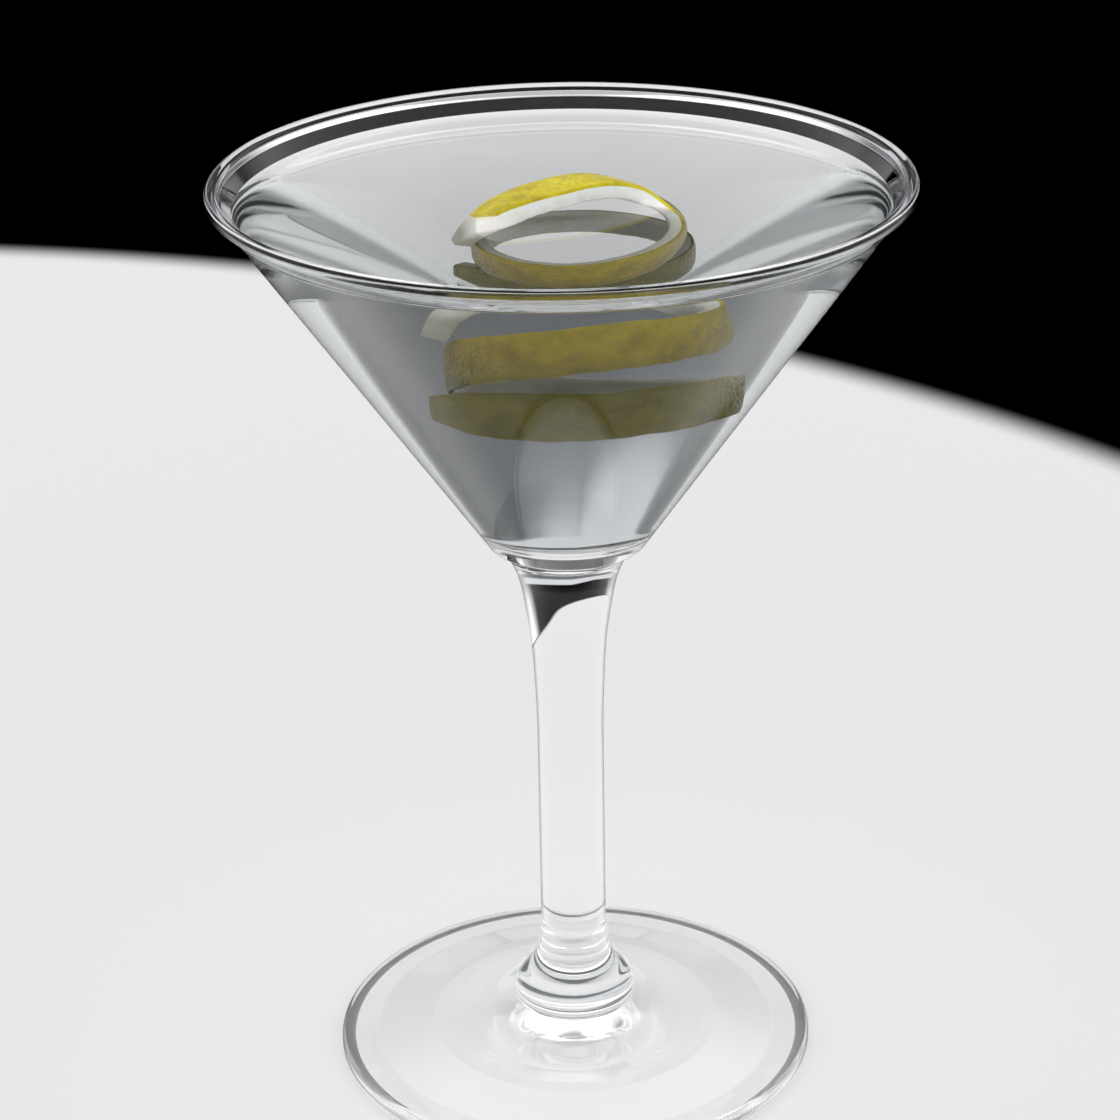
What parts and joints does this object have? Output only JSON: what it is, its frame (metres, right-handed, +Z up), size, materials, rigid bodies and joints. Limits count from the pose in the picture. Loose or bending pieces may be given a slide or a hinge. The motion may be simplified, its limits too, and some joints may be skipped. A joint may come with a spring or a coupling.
{
  "type": "martini glass",
  "caption": "Stemmed cocktail glass with a cone-shaped bowl, a solid stem and a round foot, holding a clear drink and a coiled strip of lemon peel.",
  "frame": {"origin": "centre of the flat ring on the underside of the foot, at the level that the glass stands on", "axes": "+Z up along the axis of the glass; the drink's garnish lies with its near coil towards -Y"},
  "size_m": [0.11, 0.11, 0.153],
  "materials": {
    "glass": "clear, fire-polished, smooth",
    "drink": "clear liquid, very slightly cloudy",
    "zest": "waxy yellow citrus skin with fine pores",
    "pith": "soft, spongy and matt"
  },
  "bodies": {
    "glass": {"bowl": "glass", "stem": "glass", "foot": "glass"},
    "drink": {"drink": "drink"},
    "twist": {"lemon_zest": "zest", "lemon_pith": "pith"}
  },
  "joints": [
    {"name": "drink_swirl", "type": "hinge", "parent": "glass", "child": "drink", "pos_m": [0, 0, 0.0948], "axis": [0, 0, 1], "continuous": true},
    {"name": "twist_lift", "type": "slide", "parent": "drink", "child": "twist", "axis": [0, 0, 1], "range_m": [0, 0.035], "deforming": ["drink"]}
  ]
}
